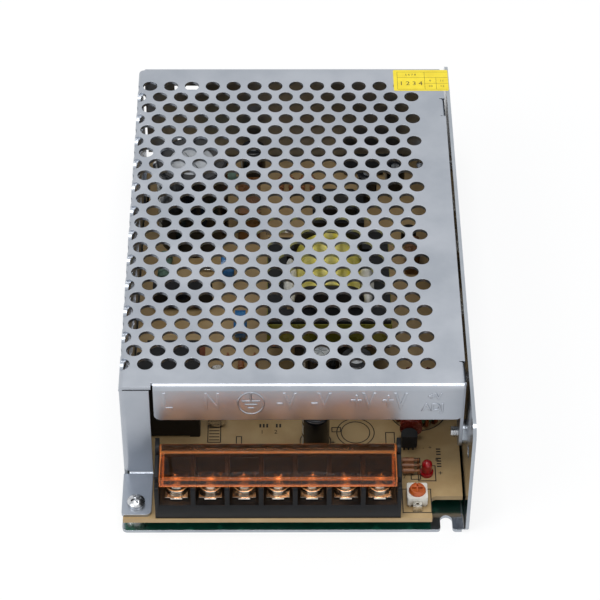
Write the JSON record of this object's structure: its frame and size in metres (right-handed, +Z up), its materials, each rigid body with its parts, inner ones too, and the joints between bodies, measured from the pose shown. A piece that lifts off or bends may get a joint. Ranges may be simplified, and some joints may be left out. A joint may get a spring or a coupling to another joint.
{
  "type": "mesh case switching power supply",
  "caption": "Switching power supply in a folded metal case with a perforated cover, screw terminals under a hinged amber cover, and a voltage trimmer.",
  "frame": {"origin": "centre of the footprint, on the underside of the floor", "axes": "+X across the case towards the solid side wall, +Y from the terminals to the rear, +Z up"},
  "size_m": [0.098, 0.159, 0.042],
  "materials": {
    "zinc_sheet": "satin zinc-plated sheet",
    "zinc_screw": "zinc plated",
    "nut_steel": "zinc plated",
    "board_laminate": "fine satin",
    "black_moulding": "satin",
    "plated_contact": "nickel plated",
    "terminal_screw": "nickel plated",
    "amber_clear": "clear, tinted",
    "white_plastic": "satin",
    "orange_plastic": "satin",
    "red_lens": "clear, tinted",
    "ferrite": "ground ceramic",
    "bobbin_plastic": "satin",
    "yellow_tape": "polyester film",
    "can_aluminium": "satin",
    "black_sleeve": "shrunk film",
    "choke_coil": "enamelled wire",
    "dark_box": "moulded",
    "blue_coating": "dipped",
    "clear_glass": "clear",
    "dark_coating": "dipped",
    "brown_box": "moulded",
    "resistor_grey": "painted ceramic",
    "chip_body": "moulded",
    "tinned_lead": "tinned",
    "grey_pad": "matte",
    "ring_green": "painted powder core",
    "copper_wire": "enamelled copper",
    "resistor_brown": "painted",
    "red_brown_coating": "dipped"
  },
  "bodies": {
    "supply": {"base_chassis": "zinc_sheet", "mesh_cover": "zinc_sheet", "board_pillars": "nut_steel", "circuit_board": "board_laminate", "board_screws": "zinc_screw", "cover_foot_screw": "zinc_screw", "cover_side_screws": "zinc_screw", "terminal_block": "black_moulding", "terminal_plates": "plated_contact", "clamp_washers": "plated_contact", "terminal_screws": "terminal_screw", "trimmer_body": "white_plastic", "trimmer_wiper": "tinned_lead", "status_led": "red_lens", "transformer_core": "ferrite", "transformer_bobbin": "bobbin_plastic", "transformer_winding": "yellow_tape", "transformer_tape": "yellow_tape", "bulk_capacitor": "can_aluminium", "bulk_capacitor_sleeve": "black_sleeve", "output_capacitors": "can_aluminium", "output_capacitor_sleeves": "black_sleeve", "small_electrolytics": "can_aluminium", "small_electrolytic_sleeves": "black_sleeve", "choke_core": "ferrite", "choke_coils": "choke_coil", "x_capacitor": "dark_box", "y_capacitors": "blue_coating", "fuse_glass": "clear_glass", "fuse_caps": "plated_contact", "thermistor": "dark_coating", "bridge_rectifier": "chip_body", "film_capacitors": "brown_box", "power_resistors": "resistor_grey", "driver_core": "ferrite", "driver_winding": "bobbin_plastic", "control_chip": "chip_body", "chip_legs": "tinned_lead", "power_devices": "chip_body", "device_tabs": "tinned_lead", "insulating_pads": "grey_pad", "device_screws": "zinc_screw", "device_nuts": "nut_steel", "inductor_ring": "ring_green", "inductor_turns": "copper_wire", "signal_resistors": "resistor_brown", "ceramic_capacitor": "red_brown_coating", "small_transistors": "chip_body", "wire_links": "tinned_lead"},
    "hinged_cover": {"terminal_cover": "amber_clear"},
    "rotor": {"trimmer_rotor": "orange_plastic"}
  },
  "joints": [
    {"name": "terminal_cover_hinge", "type": "hinge", "parent": "supply", "child": "hinged_cover", "pos_m": [-0.0049, -0.0662, 0.0206], "axis": [-1, 0, 0], "range_deg": [0, 95]},
    {"name": "trimmer_turn", "type": "hinge", "parent": "supply", "child": "rotor", "pos_m": [0.0344, -0.0721, 0.009], "axis": [0, 0, 1], "range_deg": [-115, 115]}
  ]
}
